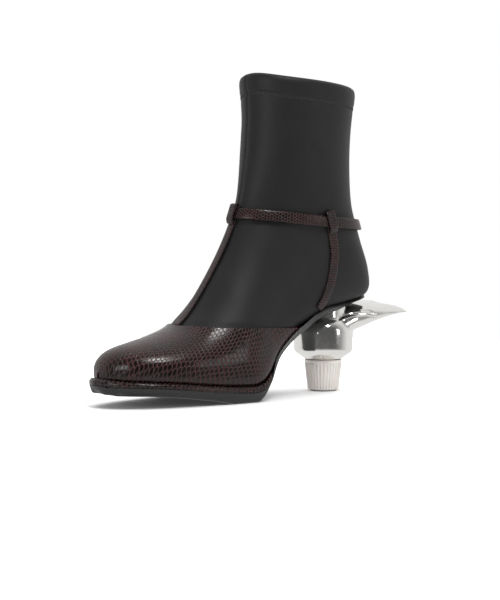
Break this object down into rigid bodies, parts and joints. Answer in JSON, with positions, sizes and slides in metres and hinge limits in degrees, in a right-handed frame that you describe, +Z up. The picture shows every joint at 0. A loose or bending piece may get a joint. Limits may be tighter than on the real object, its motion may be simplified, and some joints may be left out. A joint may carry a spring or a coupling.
{
  "type": "ankle boot",
  "caption": "Left ankle boot with a stretch sock shaft, a low vamp, a T-strap with buckled ankle strap, and a heel shaped like a folded tube standing on its ribbed cap.",
  "frame": {"origin": "middle of the boot's bounding box in plan, on the floor it stands on", "axes": "-Y towards the toe, +Y towards the heel, +X the outer side of the left foot, +Z up the shaft"},
  "size_m": [0.0808, 0.2703, 0.2374],
  "materials": {
    "sock": "satin stretch faux leather",
    "snake": "gloss snake print",
    "lining": "matt lining leather",
    "stiffener": "matt",
    "elastic": "woven",
    "footbed": "matt",
    "board": "matt",
    "cork": "granular",
    "midsole": "matt",
    "sole": "satin",
    "chrome_tube": "bright chrome plating",
    "cap": "satin",
    "tip": "matt",
    "steel": "zinc plated",
    "buckle": "polished"
  },
  "bodies": {
    "boot": {"sock_lateral": "sock", "sock_medial": "sock", "vamp": "snake", "vamp_lining": "lining", "toe_puff": "stiffener", "heel_counter": "stiffener", "counter_lining": "lining", "hem_facing": "sock", "topline_elastic": "elastic", "instep_strap": "snake", "lateral_strap": "snake", "medial_strap": "snake", "ankle_strap": "snake", "buckle_frame": "buckle", "footbed": "footbed", "insole_board": "board", "shank": "steel", "shank_rivets": "steel", "bottom_filler": "cork", "midsole": "midsole", "rand": "snake", "outsole": "sole", "heel_tube": "chrome_tube", "heel_cap": "cap", "heel_tip": "tip", "heel_dowel": "steel", "heel_screw": "steel", "heel_nails": "steel"},
    "prong": {"buckle_prong": "buckle"},
    "keeper": {"strap_keeper": "snake"}
  },
  "joints": [
    {"name": "prong_pivot", "type": "hinge", "parent": "boot", "child": "prong", "pos_m": [-0.02799, 0.01132, 0.13247], "axis": [-0.1092, -0.1186, -0.9869], "range_deg": [0, 36]},
    {"name": "keeper_slide", "type": "slide", "parent": "boot", "child": "keeper", "axis": [-0.2263, 0.9705, -0.0832], "range_m": [-0.002, 0.002]}
  ]
}
